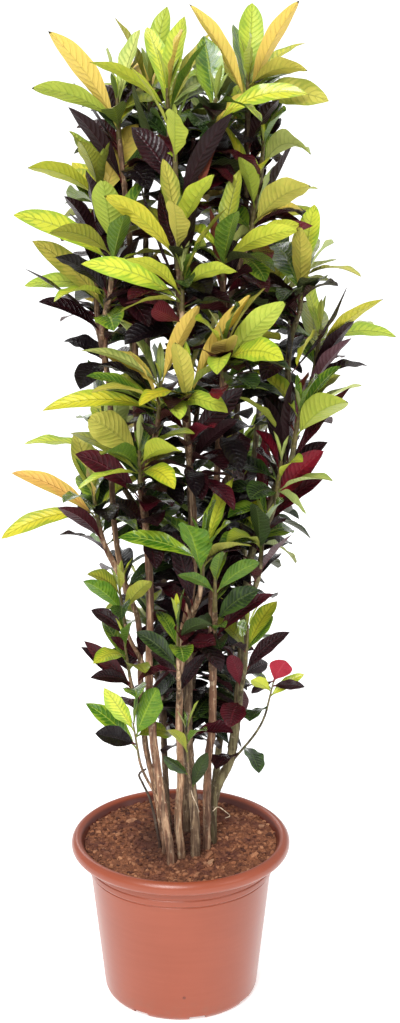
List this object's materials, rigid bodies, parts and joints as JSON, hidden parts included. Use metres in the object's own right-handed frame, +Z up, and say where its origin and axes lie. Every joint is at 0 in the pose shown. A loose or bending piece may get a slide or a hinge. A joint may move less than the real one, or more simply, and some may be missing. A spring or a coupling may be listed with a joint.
{
  "type": "potted croton",
  "caption": "Tall branched croton bush with bright young leaves over dark old ones, on woody canes in soil in a round growing pot with a rolled rim.",
  "frame": {"origin": "centre of the pot's underside, on the surface it stands on", "axes": "+Z up along the pot's axis and the plant; +Y away from someone in front of it, +X to their right"},
  "size_m": [0.597, 0.5372, 1.5657],
  "materials": {
    "pot_plastic": "satin moulded polypropylene in terracotta red",
    "potting_soil": "coarse damp bark and coco soil",
    "bark": "rough grey-brown bark with leaf-scar rings",
    "leaves": "smooth waxy leaf, glossy above and matt below"
  },
  "bodies": {
    "root": {"pot": "pot_plastic", "soil": "potting_soil", "dead_twig": "bark", "cane_left": "bark", "cane_left_front": "bark", "cane_left_rear": "bark", "cane_centre": "bark", "cane_middle": "bark", "cane_right_front": "bark", "cane_right": "bark", "cane_right_top": "bark", "cane_right_rear": "bark", "shoot_crown_right": "leaves", "shoot_crown_mid": "leaves", "shoot_crown_centre": "leaves", "shoot_crown_left": "leaves", "shoot_front_top": "leaves", "shoot_right_top": "leaves", "shoot_right_upper": "leaves", "shoot_left_upper": "leaves", "shoot_left_mid_upper": "leaves", "shoot_centre_upper": "leaves", "shoot_right_mid_upper": "leaves", "shoot_left_mid": "leaves", "shoot_centre": "leaves", "shoot_right": "leaves", "shoot_right_mid": "leaves", "shoot_centre_right": "leaves", "shoot_centre_left": "leaves", "shoot_centre_mid": "leaves", "shoot_left_low_mid": "leaves", "shoot_far_left": "leaves", "shoot_right_fork": "leaves", "shoot_right_low_mid": "leaves", "shoot_right_low": "leaves", "shoot_centre_low": "leaves", "shoot_low_left": "leaves", "shoot_low_centre": "leaves", "shoot_low_right": "leaves", "shoot_lower_left": "leaves", "shoot_mid_low": "leaves", "shoot_base_left": "leaves", "shoot_base_mid": "leaves", "shoot_pink": "leaves", "shoot_rear_crown_left": "leaves", "shoot_rear_crown_right": "leaves", "shoot_rear_left_upper": "leaves", "shoot_rear_right_upper": "leaves", "shoot_rear_right": "leaves", "shoot_rear_left_mid": "leaves", "shoot_rear_centre_mid": "leaves", "shoot_rear_left_low": "leaves", "shoot_rear_right_mid": "leaves", "shoot_rear_centre_low": "leaves", "shoot_rear_low_left": "leaves", "shoot_rear_low_right": "leaves"}
  },
  "joints": []
}
